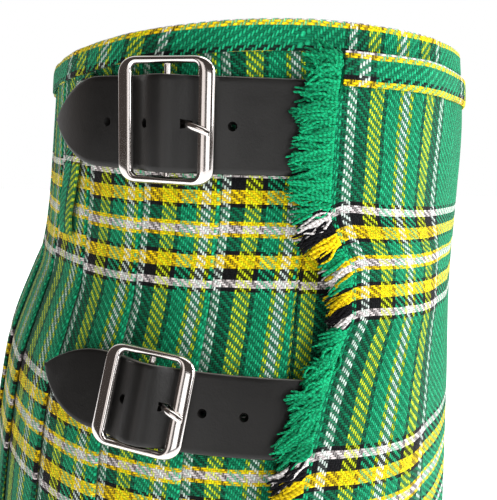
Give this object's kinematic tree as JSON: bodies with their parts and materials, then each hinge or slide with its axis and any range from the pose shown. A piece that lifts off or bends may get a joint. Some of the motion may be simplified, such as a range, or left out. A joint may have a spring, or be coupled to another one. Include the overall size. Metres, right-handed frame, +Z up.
{
  "type": "tartan kilt",
  "caption": "Wrapped and pleated tartan wool skirt with a fringed over apron, a waistband, and leather straps with centre-bar buckles at the hips",
  "frame": {"origin": "Middle of the waist opening, level with the top of the waistband at the hips, where the wearer holds it up.", "axes": "+Z up, -Y to the front of the wearer, -X to the wearer's right hip, where the two straps are."},
  "size_m": [0.4045, 0.2991, 0.6105],
  "materials": {
    "tartan_wool": "green wool twill with a yellow, black and white check",
    "fringe_yarn": "green twisted wool yarn, with tufts of white, black and yellow",
    "black_leather": "smooth black strap leather, semi-gloss, with cut edges",
    "chrome": "polished chrome plate"
  },
  "bodies": {
    "root": {"pleated_back": "tartan_wool", "under_apron": "tartan_wool", "over_apron": "tartan_wool", "waistband": "tartan_wool", "apron_band": "tartan_wool", "apron_fringe": "fringe_yarn", "belt_loop_right": "tartan_wool", "belt_loop_left": "tartan_wool", "strap_upper": "black_leather", "buckle_tab_upper": "black_leather", "buckle_frame_upper": "chrome", "buckle_prong_upper": "chrome", "strap_lower": "black_leather", "buckle_tab_lower": "black_leather", "buckle_frame_lower": "chrome", "buckle_prong_lower": "chrome", "strap_left": "black_leather", "buckle_tab_left": "black_leather", "buckle_frame_left": "chrome", "buckle_prong_left": "chrome"}
  },
  "joints": []
}
